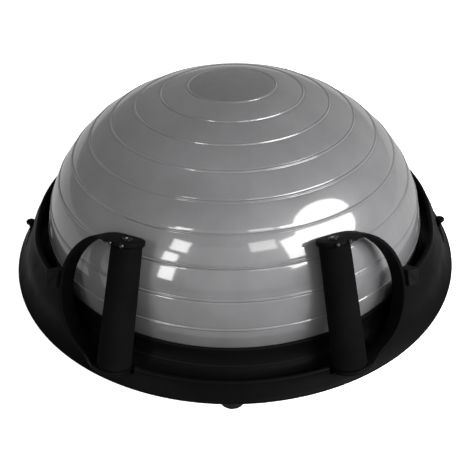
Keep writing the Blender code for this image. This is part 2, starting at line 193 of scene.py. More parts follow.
def lathe_mesh(name, outline, steps, closed=True):
    """Spins an outline of (radius, height) points about Z; an open outline starts and ends on the axis."""
    work = bmesh.new()
    points = [work.verts.new((radius, 0, height)) for radius, height in outline]
    edges = [work.edges.new(pair) for pair in zip(points, points[1:])]
    if closed:
        edges.append(work.edges.new((points[-1], points[0])))
    bmesh.ops.spin(work, geom=points + edges, cent=(0, 0, 0), axis=(0, 0, 1), angle=2 * pi, steps=steps)
    return mesh_of(name, work)


def arc(centre, radius, start, end, steps):
    """Points of a circular arc, from start to end in degrees."""
    angles = [radians(start + (end - start) * step / steps) for step in range(steps + 1)]
    return [(centre[0] + radius * cos(a), centre[1] + radius * sin(a)) for a in angles]


def rounded(points, radius, steps=3):
    """A closed outline with each corner cut into a short smooth bend."""
    made = []
    for index, corner in enumerate(points):
        before, after = Vector(points[index - 1]), Vector(points[(index + 1) % len(points)])
        here = Vector(corner)
        reach_in = min(radius, (before - here).length * 0.45)
        reach_out = min(radius, (after - here).length * 0.45)
        start = here + (before - here).normalized() * reach_in
        end = here + (after - here).normalized() * reach_out
        for step in range(steps + 1):
            t = step / steps
            spot = start * (1 - t) ** 2 + here * 2 * t * (1 - t) + end * t**2
            made.append(tuple(spot))
    return made


def ease_edges(made, width):
    """Rounds a piece's sharp edges with a bevel."""
    change = made.modifiers.new("eased_edges", "BEVEL")
    change.width = width
    change.segments = 2
    change.limit_method = "ANGLE"
    change.angle_limit = radians(35)
    change.use_clamp_overlap = True
    change.harden_normals = False
    return made


def helper(name, mesh, place=Matrix()):
    """A cutter: never shown."""
    made = bpy.data.objects.new(name, mesh)
    made.matrix_world = place
    made.hide_render = True
    made.hide_viewport = True
    bpy.context.scene.collection.objects.link(made)
    return made


def cut(target, cutters):
    """Takes the cutters out of a piece and keeps only the result."""
    for cutter in cutters:
        change = target.modifiers.new(cutter.name, "BOOLEAN")
        change.operation = "DIFFERENCE"
        change.object = cutter
    bpy.context.view_layer.update()
    graph = bpy.context.evaluated_depsgraph_get()
    result = bpy.data.meshes.new_from_object(target.evaluated_get(graph))
    target.modifiers.clear()
    target.data = result
    for cutter in cutters:
        bpy.data.objects.remove(cutter)


def box_outline_mesh(name, low, high, round_radius):
    """A box along Y whose outline in X and Z has rounded corners."""
    corners = [(low[0], low[2]), (high[0], low[2]), (high[0], high[2]), (low[0], high[2])]
    outline = rounded(corners, round_radius, 5) if round_radius else corners
    work = bmesh.new()
    near = work.faces.new([work.verts.new((x, low[1], z)) for x, z in outline])
    pushed = bmesh.ops.extrude_face_region(work, geom=[near])["geom"]
    moved = [item for item in pushed if isinstance(item, bmesh.types.BMVert)]
    bmesh.ops.translate(work, verts=moved, vec=(0, high[1] - low[1], 0))
    return mesh_of(name, work)


# ---------------------------------------------------------------- base


def smooth_step(value, start, full):
    along = min(max((value - start) / (full - start), 0), 1)
    return along * along * (3 - 2 * along)


def wall_radius(height):
    """Outer radius of the base wall at a height, along a smooth curve through WALL_OUTLINE."""
    points = WALL_OUTLINE
    for index in range(len(points) - 1):
        low, high = points[index], points[index + 1]
        if height <= high[1] or index == len(points) - 2:
            break
    before = points[max(index - 1, 0)]
    after = points[min(index + 2, len(points) - 1)]
    span = high[1] - low[1]
    along = (height - low[1]) / span
    slope_low = (high[0] - before[0]) / (high[1] - before[1]) * span
    slope_high = (after[0] - low[0]) / (after[1] - low[1]) * span
    square, cube = along**2, along**3
    return (
        low[0] * (2 * cube - 3 * square + 1)
        + slope_low * (cube - 2 * square + along)
        + high[0] * (3 * square - 2 * cube)
        + slope_high * (cube - square)
    )


def side_angle(azimuth):
    """Angle from the front or, on the back half, from the back; the back handles sit a little closer in."""
    folded = abs(atan2(sin(azimuth), cos(azimuth)))
    if folded <= pi / 2:
        return folded
    return min(pi - folded + BACK_TURN, pi / 2)


def base_section(azimuth):
    """The closed outline of the base at an azimuth: low at front and back, raised along the sides."""
    angle = side_angle(azimuth)
    rise = smooth_step(angle, SHOULDER_START, SHOULDER_FULL)
    lean = SHOULDER_LEAN * smooth_step(angle, LEAN_START, LEAN_FULL)
    top = CREST_LEVEL + rise * (SHOULDER_LEVEL - WALL_THICKNESS / 2 - CREST_LEVEL)
    full_rise = SHOULDER_LEVEL - CREST_LEVEL

    def outer(height):
        return wall_radius(height) - lean * max((height - CREST_LEVEL) / full_rise, 0)

    half = WALL_THICKNESS / 2
    outline = [(0.2880, SHELL_BOTTOM), (0.2890, SHELL_BOTTOM + 0.0004), (0.2960, 0.0268)]
    outline += arc((RIM_RADIUS - RIM_ROUND, RIM_LEVEL), RIM_ROUND, -60, 25, 6)
    first = RIM_LEVEL + 0.0030
    heights = [first + (top - first) * step / 14 for step in range(15)]
    outline += [(outer(height), height) for height in heights]
    outline += arc((outline[-1][0] - half, top), half, 25, 155, 6)
    trough_top = TROUGH_LEVEL + TROUGH_ROUND / 2
    for step in range(7):
        height = top - (top - trough_top) * step / 6
        outline.append((outer(height) - WALL_THICKNESS, height))
    outline += arc((TROUGH_RADIUS, TROUGH_LEVEL + TROUGH_ROUND), TROUGH_ROUND, -35, -143, 10)
    outline += [
        (FLANGE_RADIUS + 0.0010, DECK_LEVEL),
        (DECK_HOLE_RADIUS, DECK_LEVEL),
        (DECK_HOLE_RADIUS, DECK_LEVEL - DECK_THICKNESS),
        (0.2565, DECK_LEVEL - DECK_THICKNESS),
        (0.2620, 0.0300),
        (0.2880, 0.0300),
        (0.2845, SHELL_BOTTOM),
    ]
    return outline


def base_mesh():
    work = bmesh.new()
    rings = []
    for step in range(BASE_STEPS):
        azimuth = 2 * pi * step / BASE_STEPS
        section = base_section(azimuth)
        rings.append([work.verts.new((r * sin(azimuth), -r * cos(azimuth), z)) for r, z in section])
    count = len(rings[0])
    for ring, following in zip(rings, rings[1:] + rings[:1]):
        for index in range(count):
            after = (index + 1) % count
            work.faces.new((ring[index], following[index], following[after], ring[after]))
    return mesh_of("base_moulding", work)


def base_moulding(look):
    made = piece("base_moulding", base_mesh(), look, stands_for=["base_shell"])
    cutters = []
    seat = seat_mesh()
    for side in SIDES:
        cutters.append(helper(f"seat_{side}", seat, handle_place(side)))
        cutters.append(helper(f"pocket_{side}", pocket_mesh(side), handle_place(side)))
    low = (-SLOT_HALF_LENGTH, -RIM_RADIUS - 0.010, SLOT_BOTTOM)
    high = (SLOT_HALF_LENGTH, -DOME_RADIUS - 0.0055, SLOT_TOP)
    slot = box_outline_mesh("side_slot", low, high, SLOT_ROUND)
    for azimuth in (SLOT_AZIMUTH, -SLOT_AZIMUTH):
        cutters.append(helper("side_slot", slot, Matrix.Rotation(azimuth, 4, "Z")))
    cut(made, cutters)
    shade(made, 32)
    return made


def clamp_ring(look):
    """The ring round the dome's lower edge; its skirt slopes down and runs on into the trough."""
    low, high, foot = CLAMP_LOW.z, CLAMP_HIGH.z, DECK_LEVEL + 0.0003
    inner = DOME_RADIUS + 0.0008
    outline = [(inner, low), (inner, high - 0.0005), (inner + 0.0005, high), (inner + 0.0014, high)]
    outline += [(inner + 0.0024, high - 0.0005), (inner + 0.0031, high - 0.0014)]
    span = SHELF_RADIUS + 0.0002 - (inner + 0.0033)
    drop = (high - 0.0022) - (TROUGH_LEVEL + 0.0054)
    for step in range(13):
        along = step / 12
        sag = 0.0011 * sin(pi * along)
        outline.append((inner + 0.0033 + span * along - sag, high - 0.0022 - drop * along - sag * 0.5))
    outline += [(FLANGE_RADIUS + 0.0004, foot), (FLANGE_RADIUS + 0.0004, low)]
    mesh = lathe_mesh("clamp_ring", outline, 216)
    return piece("clamp_ring", mesh, look, stands_for=["dome_clamp_ring"])


def platform(look):
    """The flat underside, rounded at its edge, with three shallow moulded grooves; ribs stand on its top."""
    low, high, radius = PLATE_LOW.z, PLATE_HIGH.z, PLATE_HIGH.x
    hole, thick = PLATE_HOLE_RADIUS, PLATE_THICK_LEVEL
    outline = [(hole, low + 0.0006), (hole, thick)]
    raised = [(rib, PLATE_RIB_WIDTH) for rib in PLATE_RIBS]
    for ring, wide in [*raised, (FOOT_BOSS_RADIUS, FOOT_BOSS_WIDTH)]:
        outline += [(ring, thick), (ring, high), (ring + wide, high), (ring + wide, thick)]
    outline += [(radius, thick)]
    outline += arc((radius - 0.002, low + 0.002), 0.002, 0, -90, 4)
    for groove in PLATE_GROOVES:
        outline += [(groove + 0.0016, low), (groove + 0.0008, low + 0.0009)]
        outline += [(groove - 0.0008, low + 0.0009), (groove - 0.0016, low)]
    outline += [(hole + 0.0006, low)]
    mesh = lathe_mesh("platform", outline, 180)
    made = piece("platform", mesh, look, stands_for=["platform_plate"])
    holes = bmesh.new()
    for number in range(6):
        spot = middle_of(f"foot_screw_{number + 1}")
        place = Matrix.Translation((spot.x, spot.y, 0.02))
        wide = SCREW_HOLE_RADIUS
        bmesh.ops.create_cone(
            holes, cap_ends=True, segments=20, radius1=wide, radius2=wide, depth=0.024, matrix=place
        )
    cut(made, [helper("screw_holes", mesh_of("screw_holes", holes))])
    return shade(made)


def middle_of(node):
    low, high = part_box(node)
    return (low + high) / 2


# ---------------------------------------------------------------- dome


def dome_point(angle, lift):
    """A point of the dome's ellipse, lifted along the surface normal; the angle is 0 at the equator."""
    radius, height = DOME_RADIUS * cos(angle), DOME_RISE * sin(angle)
    normal = Vector((cos(angle) / DOME_RADIUS, sin(angle) / DOME_RISE)).normalized()
    return max(radius + normal.x * lift, 0), DOME_LEVEL + height + normal.y * lift


def dome_lengths(parts=720):
    """Pairs of (distance from the crown along the surface, ellipse angle)."""
    made = [(0.0, pi / 2)]
    last = dome_point(pi / 2, 0)
    for step in range(1, parts + 1):
        angle = pi / 2 * (1 - step / parts)
        spot = dome_point(angle, 0)
        made.append((made[-1][0] + sqrt((spot[0] - last[0]) ** 2 + (spot[1] - last[1]) ** 2), angle))
        last = spot
    return made


def angle_at(length, table):
    """The ellipse angle at a distance from the crown."""
    for before, after in zip(table, table[1:]):
        if after[0] >= length:
            along = (length - before[0]) / (after[0] - before[0])
            return before[1] + (after[1] - before[1]) * along
    return 0.0


def dome_lift(length, rings):
    """How far the inflated skin stands off the ellipse: swelling between the rings and a bead on each."""
    edges = [DISC_RADIUS * 0.4, *rings, rings[-1] + RING_SPACING]
    lift = 0.0
    for start, end in zip(edges, edges[1:]):
        if start <= length <= end and start > DISC_RADIUS:
            lift = BAND_BULGE * sin(pi * (length - start) / (end - start)) ** 0.8
    for ring in rings:
        off = abs(length - ring) / RING_HALF_WIDTH
        if off < 1:
            lift += RING_HEIGHT * (0.5 + 0.5 * cos(pi * off)) ** 0.7
        elif off < 1.9:
            lift -= 0.00018 * sin(pi * (off - 1) / 0.9)
    return lift


def dome_skin(look):
    table = dome_lengths()
    rings = [FIRST_RING + RING_SPACING * number for number in range(RING_COUNT)]
    full = table[-1][0]
    lengths = {full * step / 120 for step in range(121)}
    for ring in rings:
        lengths |= {ring + RING_HALF_WIDTH * step / 5 for step in range(-10, 11)}
    kept = [0.0]
    for length in sorted(lengths):
        if length <= full and length - kept[-1] > 0.00015:
            kept.append(length)
    outline = [dome_point(angle_at(length, table), dome_lift(length, rings)) for length in kept]
    outline[0] = (0, outline[0][1])
    bottom = DECK_LEVEL + 0.0020
    outline += [(DOME_RADIUS, DOME_LEVEL - 0.004), (DOME_RADIUS, bottom + 0.003)]
    outline += [(DOME_RADIUS - 0.003, bottom), (0, bottom)]
    mesh = lathe_mesh("dome_skin", list(reversed(outline)), DOME_STEPS, closed=False)
    made = piece("dome_skin", mesh, look, stands_for=["dome_bladder"])
    return shade(made, 60)


# ---------------------------------------------------------------- handles


def joint_of(side):
    return next(joint for joint in frame["joints"] if joint["name"] == f"grip_turn_{side}")


def handle_place(side):
    """A handle's frame: origin on the grip's axis, Z up it, Y in to the dome and X towards the shoulder."""
    joint = joint_of(side)
    middle, up = Vector(joint["pos_m"]), Vector(joint["axis"]).normalized()
    outward = Vector((middle.x, middle.y, 0)).normalized()
    inward = -(outward - up * outward.dot(up)).normalized()
    sideways = inward.cross(up)
    if sideways.dot(Vector((middle.x, 0, 0))) < 0:
        sideways = -sideways
    place = Matrix((sideways, inward, up)).transposed().to_4x4()
    place.translation = middle
    return place


def grip_half_length():
    """Half the length of a grip core's tube along its axis."""
    joint = joint_of("front_right")
    middle, up = Vector(joint["pos_m"]), Vector(joint["axis"]).normalized()
    core = frame["nodes"]["grip_core_front_right"].data.vertices
    return max((point.co - middle).dot(up) for point in core) + 0.0003


def bow_path(half_height, reach, cap_step):
    """Points (x, z) down one face of the bow: over the cap, round a rounded D and back under the grip."""
    power = 2 / BOW_SQUARENESS
    cap = [-CAP_RADIUS * cos(radians(step)) for step in range(6, 91, cap_step)]
    path = [(across, half_height) for across in cap]
    for step in range(BOW_STEPS + 1):
        angle = pi / 2 - pi * step / BOW_STEPS
        across = CAP_RADIUS + (reach - CAP_RADIUS) * abs(cos(angle)) ** power
        up = abs(sin(angle)) ** power * (1 if angle > 0 else -1)
        path.append((across, half_height * up))
    path += [(across, -half_height) for across in reversed(cap)]
    return path


def bow_depth(across):
    """How far the bow reaches to the front and to the back of the grip's axis, this far sideways from it."""
    if across <= 0:
        round_end = max(CAP_RADIUS**2 - across**2, 0) ** 0.5
        return round_end, round_end
    change = smooth_step(across, CAP_RADIUS * 0.3, BOW_REACH * 0.55)
    return CAP_RADIUS + (BOW_FRONT - CAP_RADIUS) * change, CAP_RADIUS + (BOW_BACK - CAP_RADIUS) * change


def bow_mesh():
    """The D-shaped band with a rounded section, as wide as the grip over its two ends."""
    half = grip_half_length() + BOW_THICKNESS
    outer = bow_path(half, BOW_REACH, 7)
    inner = bow_path(half - BOW_THICKNESS, BOW_REACH - BOW_THICKNESS, 7)
    work = bmesh.new()
    rows = []
    for (x, z), (inner_x, inner_z) in zip(outer, inner):
        front, back = bow_depth(x)
        corners = (Vector((x, -front, z)), Vector((x, back, z)), Vector((inner_x, back, inner_z)),
                   Vector((inner_x, -front, inner_z)))
        rows.append([work.verts.new(spot) for spot in rounded_corners(corners, EDGE_ROUND)])
    count = len(rows[0])
    for row, following in zip(rows, rows[1:]):
        for index in range(count):
            after = (index + 1) % count
            work.faces.new((row[index], row[after], following[after], following[index]))
    work.faces.new(rows[0])
    work.faces.new(rows[-1])
    return mesh_of("handle_bow", work)


def rounded_corners(corners, radius, steps=3):
    """Rounds each corner of a closed loop of 3-D points."""
    made = []
    for index, here in enumerate(corners):
        before, after = corners[index - 1], corners[(index + 1) % len(corners)]
        start = here + (before - here).normalized() * min(radius, (before - here).length * 0.45)
        end = here + (after - here).normalized() * min(radius, (after - here).length * 0.45)
        for step in range(steps + 1):
            t = step / steps
            made.append(start * (1 - t) ** 2 + here * 2 * t * (1 - t) + end * t**2)
    return made


def seat_mesh():
    """The space kept clear of the base round a bow: its outline, wider by the slot, cut from the front."""
    half = grip_half_length() + BOW_THICKNESS + BOW_SLOT
    path = bow_path(half, BOW_REACH + BOW_SLOT, 12)
    path[0] = (-CAP_RADIUS - BOW_SLOT, half)
    path[-1] = (-CAP_RADIUS - BOW_SLOT, -half)
    work = bmesh.new()
    near = work.faces.new([work.verts.new((x, -SEAT_REACH, z)) for x, z in path])
    pushed = bmesh.ops.extrude_face_region(work, geom=[near])["geom"]
    moved = [item for item in pushed if isinstance(item, bmesh.types.BMVert)]
    bmesh.ops.translate(work, verts=moved, vec=(0, SEAT_REACH + BOW_BACK + BOW_SLOT, 0))
    return mesh_of("bow_seat", work)


def local_box(node, place):
    """A node's lowest and highest corners in a handle's own frame."""
    back = place.inverted()
    spots = [back @ point.co for point in frame["nodes"][node].data.vertices]
    low = Vector([min(spot[axis] for spot in spots) for axis in range(3)])
    high = Vector([max(spot[axis] for spot in spots) for axis in range(3)])
    return low, high


def pocket_mesh(side):
    low, high = local_box(f"bow_bracket_{side}", handle_place(side))
    low = (low.x - 0.001, -SEAT_REACH, low.z + BRACKET_TRIM - 0.0003)
    high = (high.x + 0.0003, high.y + 0.0003, high.z - BRACKET_TRIM + 0.0003)
    return box_outline_mesh("bracket_pocket", low, high, 0)


def bow(side, mesh, look):
    made = piece(f"bow_{side}", mesh.copy(), look, stands_for=[f"handle_bow_{side}"],
                 place=handle_place(side))
    return shade(made, 45)


def grip(side, mesh, look):
    return piece(f"grip_{side}", mesh, look, body=f"grip_{side}",
                 stands_for=[f"grip_sleeve_{side}"], place=handle_place(side))


def grip_mesh(slimmer=0.0):
    """The soft sleeve: tapered a little and rounded at both ends."""
    half = grip_half_length() - GRIP_END_GAP
    bore = CORE_RADIUS + 0.0003
    low_radius, high_radius = GRIP_RADIUS_BOTTOM - slimmer, GRIP_RADIUS_TOP - slimmer
    outline = [(bore, -half), (low_radius - GRIP_END_ROUND, -half)]
    outline += arc((low_radius - GRIP_END_ROUND, -half + GRIP_END_ROUND), GRIP_END_ROUND, -75, 0, 5)
    for step in range(1, 40):
        along = step / 40
        height = -half + GRIP_END_ROUND + 2 * (half - GRIP_END_ROUND) * along
        radius = low_radius + (high_radius - low_radius) * along
        outline.append((radius, height))
    outline += arc((high_radius - 0.0018, half - 0.0018), 0.0018, 0, 90, 5)
    outline += [(bore, half)]
    return lathe_mesh("grip_sleeve", outline, 72)


def bracket(side, look):
    """The block between the bow's bend and the shoulder, with rounded corners and eased edges."""
    place = handle_place(side)
    low, high = local_box(f"bow_bracket_{side}", place)
    low.z, high.z = low.z + BRACKET_TRIM, high.z - BRACKET_TRIM
    mesh = box_outline_mesh("bracket", low, high, 0.0018)
    made = piece(f"bracket_{side}", mesh, look, stands_for=[f"bow_bracket_{side}"],
                 place=place)
    return ease_edges(made, 0.0007)


# ---------------------------------------------------------------- small parts


def cap_screw_mesh():
    """A domed head with a round socket, its top at the origin and its shank along -Z."""
    head, length = CAP_SCREW_HEAD, CAP_SCREW_LENGTH
    shank = head * 0.5
    outline = [(0, -length), (shank, -length + 0.001), (shank, -0.0024), (head, -0.0024), (head, -0.0012)]
    outline += [(head * 0.94, -0.0007), (head * 0.78, -0.0002), (head * 0.55, 0)]
    outline += [(head * 0.46, -0.0003), (head * 0.42, -0.0010), (0, -0.0010)]
    return lathe_mesh("cap_screw", outline, 28, closed=False)


def cap_screws(side, mesh, look):
    place = handle_place(side)
    for letter in "ab":
        node = f"cap_screw_{letter}_{side}"
        low, high = local_box(node, place)
        spot = Vector(((low.x + high.x) / 2, low.y, (low.z + high.z) / 2))
        turned = place @ Matrix.Translation(spot) @ Matrix.Rotation(pi / 2, 4, "X")
        piece(f"cap_screw_{letter}_{side}_fine", mesh, look, stands_for=[node], place=turned)


def grip_bolt(side, look):
    place = handle_place(side)
    low, high = local_box(f"grip_bolt_{side}", place)
    head, shank = BOLT_HEAD_RADIUS, BOLT_RADIUS
    top, seat = high.z, high.z - BOLT_HEAD_HEIGHT
    outline = [(0, low.z), (shank, low.z), (shank, seat), (head, seat), (head, seat + 0.0005)]
    outline += [(head * 0.92, seat + 0.0009), (head * 0.70, top), (head * 0.48, top)]
    outline += [(head * 0.44, top - 0.0007), (0, top - 0.0007)]
    mesh = lathe_mesh("grip_bolt", outline, 36, closed=False)
    piece(f"grip_bolt_{side}_fine", mesh, look, stands_for=[f"grip_bolt_{side}"], place=place)


def feet(rubber, steel):
    low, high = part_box("rubber_foot_1")
    radius, height = (high.x - low.x) / 2, high.z
    hole, recess = FOOT_HOLE_RADIUS, FOOT_RECESS_RADIUS
    outline = [(recess, 0.0003), (recess + 0.0003, 0), (radius - 0.0026, 0)]
    outline += arc((radius - 0.0026, 0.0024), 0.0024, -80, 0, 6)
    outline += [(radius - 0.0002, height * 0.62), (radius, height * 0.66), (radius, height)]
    outline += [(hole, height), (hole, FOOT_RECESS_DEPTH), (recess, FOOT_RECESS_DEPTH)]
    foot = lathe_mesh("foot", outline, 64)
    head_low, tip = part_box("foot_screw_1")[0].z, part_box("foot_screw_1")[1].z
    head, shank, head_high = FOOT_SCREW_HEAD, FOOT_SCREW_SHANK, FOOT_RECESS_DEPTH - 0.0003
    screw_outline = [(0, head_low + 0.0006), (0.0012, head_low + 0.0006), (0.0014, head_low)]
    screw_outline += [(head - 0.001, head_low), (head, head_low + 0.0009), (head, head_high)]
    screw_outline += [(shank, head_high), (shank, tip - 0.001), (0, tip)]
    screw = lathe_mesh("foot_screw", screw_outline, 32, closed=False)
    for number in range(1, 7):
        spot = middle_of(f"rubber_foot_{number}")
        place = Matrix.Translation((spot.x, spot.y, 0))
        piece(f"foot_{number}", foot, rubber, stands_for=[f"rubber_foot_{number}"],
              place=place)
        piece(f"foot_screw_{number}_fine", screw, steel, stands_for=[f"foot_screw_{number}"],
              place=place)


def band_posts(look):
    low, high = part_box("band_post_right")
    height, head, neck = high.z - low.z, POST_HEAD_RADIUS, POST_RADIUS
    under = height * 0.6
    outline = [(0, 0), (neck + 0.0012, 0), (neck + 0.0003, 0.0008), (neck, 0.0020), (neck, under - 0.0008)]
    outline += [(neck + 0.0006, under), (head - 0.0006, under + 0.0014)]
    outline += arc((head - 0.0012, under + 0.0027), 0.0012, -60, 20, 4)
    outline += arc((head - 0.0018, height - 0.0018), 0.0018, 20, 80, 4)
    outline += [(head * 0.3, height), (0, height)]
    mesh = lathe_mesh("band_post", outline, 48, closed=False)
    for side in ("right", "left"):
        spot = middle_of(f"band_post_{side}")
        place = Matrix.Translation((spot.x, spot.y, low.z))
        piece(f"post_{side}", mesh, look, stands_for=[f"band_post_{side}"], place=place)


def valve_plug(look):
    low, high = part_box("valve_plug")
    length, head, stem = high.z - low.z, (high.x - low.x) / 2, PLUG_STEM_RADIUS
    outline = [(0, 0.0006), (head * 0.30, 0.0006), (head * 0.36, 0), (head - 0.0008, 0)]
    outline += arc((head - 0.0008, 0.0008), 0.0008, -70, 0, 4)
    outline += [(head, 0.0021), (head - 0.0003, PLUG_HEAD_HEIGHT), (stem, PLUG_HEAD_HEIGHT)]
    for ring in PLUG_RINGS:
        outline += [(stem, ring - 0.0006), (stem + 0.00025, ring), (stem, ring + 0.0006)]
    outline += [(stem, length - 0.0012), (stem - 0.0012, length), (0, length)]
    mesh = lathe_mesh("plug", outline, 56, closed=False)
    piece("plug", mesh, look, body="valve_plug", stands_for=["valve_plug"],
          place=Matrix.Translation((0, 0, low.z)))


# ---------------------------------------------------------------- materials


class Look:
    """A material under construction: its node tree, its shader and short ways to add texture nodes."""

    def __init__(self, name, colour, roughness, **constants):
        self.material = bpy.data.materials.new(name)
        self.material.use_nodes = True
        self.tree = self.material.node_tree
        self.shader = self.tree.nodes["Principled BSDF"]
        self.set_input("Base Color", (*colour, 1.0))
        self.set_input("Roughness", roughness)
        for socket, value in constants.items():
            self.set_input(socket.replace("_", " "), value)
        self.place = self.tree.nodes.new("ShaderNodeTexCoord").outputs["Object"]

    def set_input(self, socket, value):
        self.shader.inputs[socket].default_value = value

    def link(self, output, target):
        self.tree.links.new(output, target)
        return target

    def noise(self, scale, detail=4.0, roughness=0.5, stretch=None):
        texture = self.tree.nodes.new("ShaderNodeTexNoise")
        texture.inputs["Scale"].default_value = scale
        texture.inputs["Detail"].default_value = detail
        texture.inputs["Roughness"].default_value = roughness
        source = self.place
        if stretch:
            mapping = self.tree.nodes.new("ShaderNodeMapping")
            mapping.inputs["Scale"].default_value = stretch
            self.link(self.place, mapping.inputs["Vector"])
            source = mapping.outputs["Vector"]
        self.link(source, texture.inputs["Vector"])
        return texture.outputs["Fac"]

    def cells(self, scale, randomness=1.0):
        texture = self.tree.nodes.new("ShaderNodeTexVoronoi")
        texture.inputs["Scale"].default_value = scale
        texture.inputs["Randomness"].default_value = randomness
        self.link(self.place, texture.inputs["Vector"])
        return texture.outputs["Distance"]

    def spread(self, source, low, high, start=0.3, end=0.7):
        """Maps a texture's usual span onto the span from low to high."""
        node = self.tree.nodes.new("ShaderNodeMapRange")
        for socket, value in (("From Min", start), ("From Max", end), ("To Min", low), ("To Max", high)):
            node.inputs[socket].default_value = value
        self.link(source, node.inputs["Value"])
        return node.outputs["Result"]

    def math(self, kind, first, second):
        node = self.tree.nodes.new("ShaderNodeMath")
        node.operation = kind
        for socket, value in zip(node.inputs, (first, second)):
            if isinstance(value, (int, float)):
                socket.default_value = value
            else:
                self.link(value, socket)
        return node.outputs["Value"]

    def blend_colour(self, share, first, second):
        node = self.tree.nodes.new("ShaderNodeMix")
        node.data_type = "RGBA"
        for socket, value in ((node.inputs[6], first), (node.inputs[7], second)):
            if isinstance(value, tuple):
                socket.default_value = (*value, 1.0)
            else:
                self.link(value, socket)
        self.link(share, node.inputs[0])
        return node.outputs[2]

    def blend_shader(self, share, first, second):
        node = self.tree.nodes.new("ShaderNodeMixShader")
        for output, socket in zip((share, first, second), node.inputs):
            self.link(output, socket)
        return node.outputs["Shader"]

    def worn_edges(self, low=0.52, high=0.60):
        """1 on outward edges, 0 on flat faces and hollows."""
        geometry = self.tree.nodes.new("ShaderNodeNewGeometry")
        return self.spread(geometry.outputs["Pointiness"], 0.0, 1.0, low, high)

    def colour(self, output):
        self.link(output, self.shader.inputs["Base Color"])

    def roughness(self, output):
        self.link(output, self.shader.inputs["Roughness"])

    def relief(self, layers):
        """Adds bump layers, each (height, strength, depth in metres)."""
        normal = None
        for height, strength, depth in layers:
            node = self.tree.nodes.new("ShaderNodeBump")
            node.inputs["Strength"].default_value = strength
            node.inputs["Distance"].default_value = depth
            self.link(height, node.inputs["Height"])
            if normal is not None:
                self.link(normal, node.inputs["Normal"])
            normal = node.outputs["Normal"]
        self.link(normal, self.shader.inputs["Normal"])


def black_plastic_look():
    """Satin black moulding: a fine grain, faint flow marks and slightly polished edges."""
    look = Look("moulded_black_plastic", (0.004, 0.004, 0.0042), 0.48, Specular_IOR_Level=0.025)
    flow = look.noise(9, 5, 0.6, stretch=(1, 1, 3))
    smears = look.noise(34, 6, 0.62)
    edges = look.worn_edges()
    shade_share = look.spread(flow, 0.0, 0.7)
    body = look.blend_colour(shade_share, (0.0016, 0.0016, 0.0017), (0.0034, 0.0034, 0.0036))
    look.colour(look.blend_colour(look.math("MULTIPLY", edges, 0.5), body, (0.010, 0.010, 0.0105)))
    rough = look.spread(smears, 0.40, 0.54)
    look.roughness(look.math("SUBTRACT", rough, look.math("MULTIPLY", edges, 0.08)))
    look.relief([(look.noise(60, 2), 0.10, 0.0010), (look.noise(1500, 2, 0.6), 0.22, 0.00018)])
    return look.material


def vinyl_look():
    """Grey inflated PVC: satin gloss, a faint orange peel, scuffs, and a stippled disc on the crown."""
    look = Look("inflated_grey_vinyl", (0.13, 0.13, 0.134), 0.36, Specular_IOR_Level=0.30, Coat_Weight=0.9,
                Coat_Roughness=0.075, Coat_IOR=1.62)
    split = look.tree.nodes.new("ShaderNodeSeparateXYZ")
    look.link(look.place, split.inputs["Vector"])
    across = look.math("POWER", split.outputs["X"], 2.0)
    along = look.math("POWER", split.outputs["Y"], 2.0)
    from_axis = look.math("SQRT", look.math("ADD", across, along), 0.0)
    disc = look.spread(from_axis, 1.0, 0.0, DISC_RADIUS - 0.0010, DISC_RADIUS)
    clouds = look.math("MULTIPLY", look.math("ADD", look.noise(5, 4, 0.55), look.noise(17, 5, 0.6)), 0.5)
    scuffs = look.noise(60, 6, 0.7)
    cloud_share = look.spread(clouds, 0.0, 1.0, 0.38, 0.62)
    body = look.blend_colour(cloud_share, (0.110, 0.110, 0.113), (0.142, 0.142, 0.146))
    # Inside the stippled disc the base colour is painted darker: painted shade that dims the crown, which the
    # low front light reaches less. The stipple and the higher roughness there are the disc's own surface.
    look.colour(look.blend_colour(look.math("MULTIPLY", disc, 0.5), body, (0.056, 0.056, 0.058)))
    rough = look.spread(scuffs, 0.29, 0.42)
    look.roughness(look.math("ADD", rough, look.math("MULTIPLY", disc, 0.16)))
    stipple = look.math("MULTIPLY", look.cells(900), disc)
    look.relief([
        (look.noise(24, 2), 0.07, 0.0010),
        (look.noise(420, 3, 0.55), 0.045, 0.0003),
        (stipple, 0.45, 0.0004),
    ])
    return look.material


def grip_look():
    """Matte black soft sleeve with a fine foamed skin, a little shinier where hands rub it."""
    look = Look("soft_black_grip", (0.004, 0.004, 0.0042), 0.85, Specular_IOR_Level=0.03)
    handled = look.noise(22, 4, 0.6)
    rubbed = look.spread(handled, 0, 1)
    look.colour(look.blend_colour(rubbed, (0.0016, 0.0016, 0.0017), (0.0036, 0.0036, 0.0038)))
    look.roughness(look.spread(handled, 0.74, 0.92))
    look.relief([(look.noise(240, 3, 0.6), 0.25, 0.0005), (look.cells(1300), 0.35, 0.0003)])
    return look.material


def rubber_look():
    """Black foot rubber with floor dust caught in it."""
    look = Look("foot_rubber", (0.006, 0.006, 0.006), 0.82, Specular_IOR_Level=0.15)
    dust = look.noise(140, 6, 0.65)
    caught = look.spread(dust, 0, 1, 0.45, 0.75)
    look.colour(look.blend_colour(caught, (0.0045, 0.0045, 0.0045), (0.016, 0.0157, 0.015)))
    look.roughness(look.spread(dust, 0.74, 0.92))
    look.relief([(look.noise(900, 3, 0.6), 0.30, 0.0003)])
    return look.material


def steel_look():
    """Black-plated steel, lightly rubbed."""
    look = Look("plated_steel", (0.08, 0.08, 0.083), 0.30, Metallic=1.0)
    spots = look.noise(300, 4, 0.6)
    look.colour(look.blend_colour(look.spread(spots, 0, 1), (0.03, 0.03, 0.031), (0.09, 0.09, 0.094)))
    look.roughness(look.spread(look.noise(700, 3, 0.6), 0.22, 0.40))
    look.relief([(look.noise(1800, 2), 0.12, 0.0001)])
    return look.material


# ---------------------------------------------------------------- floor, light and camera


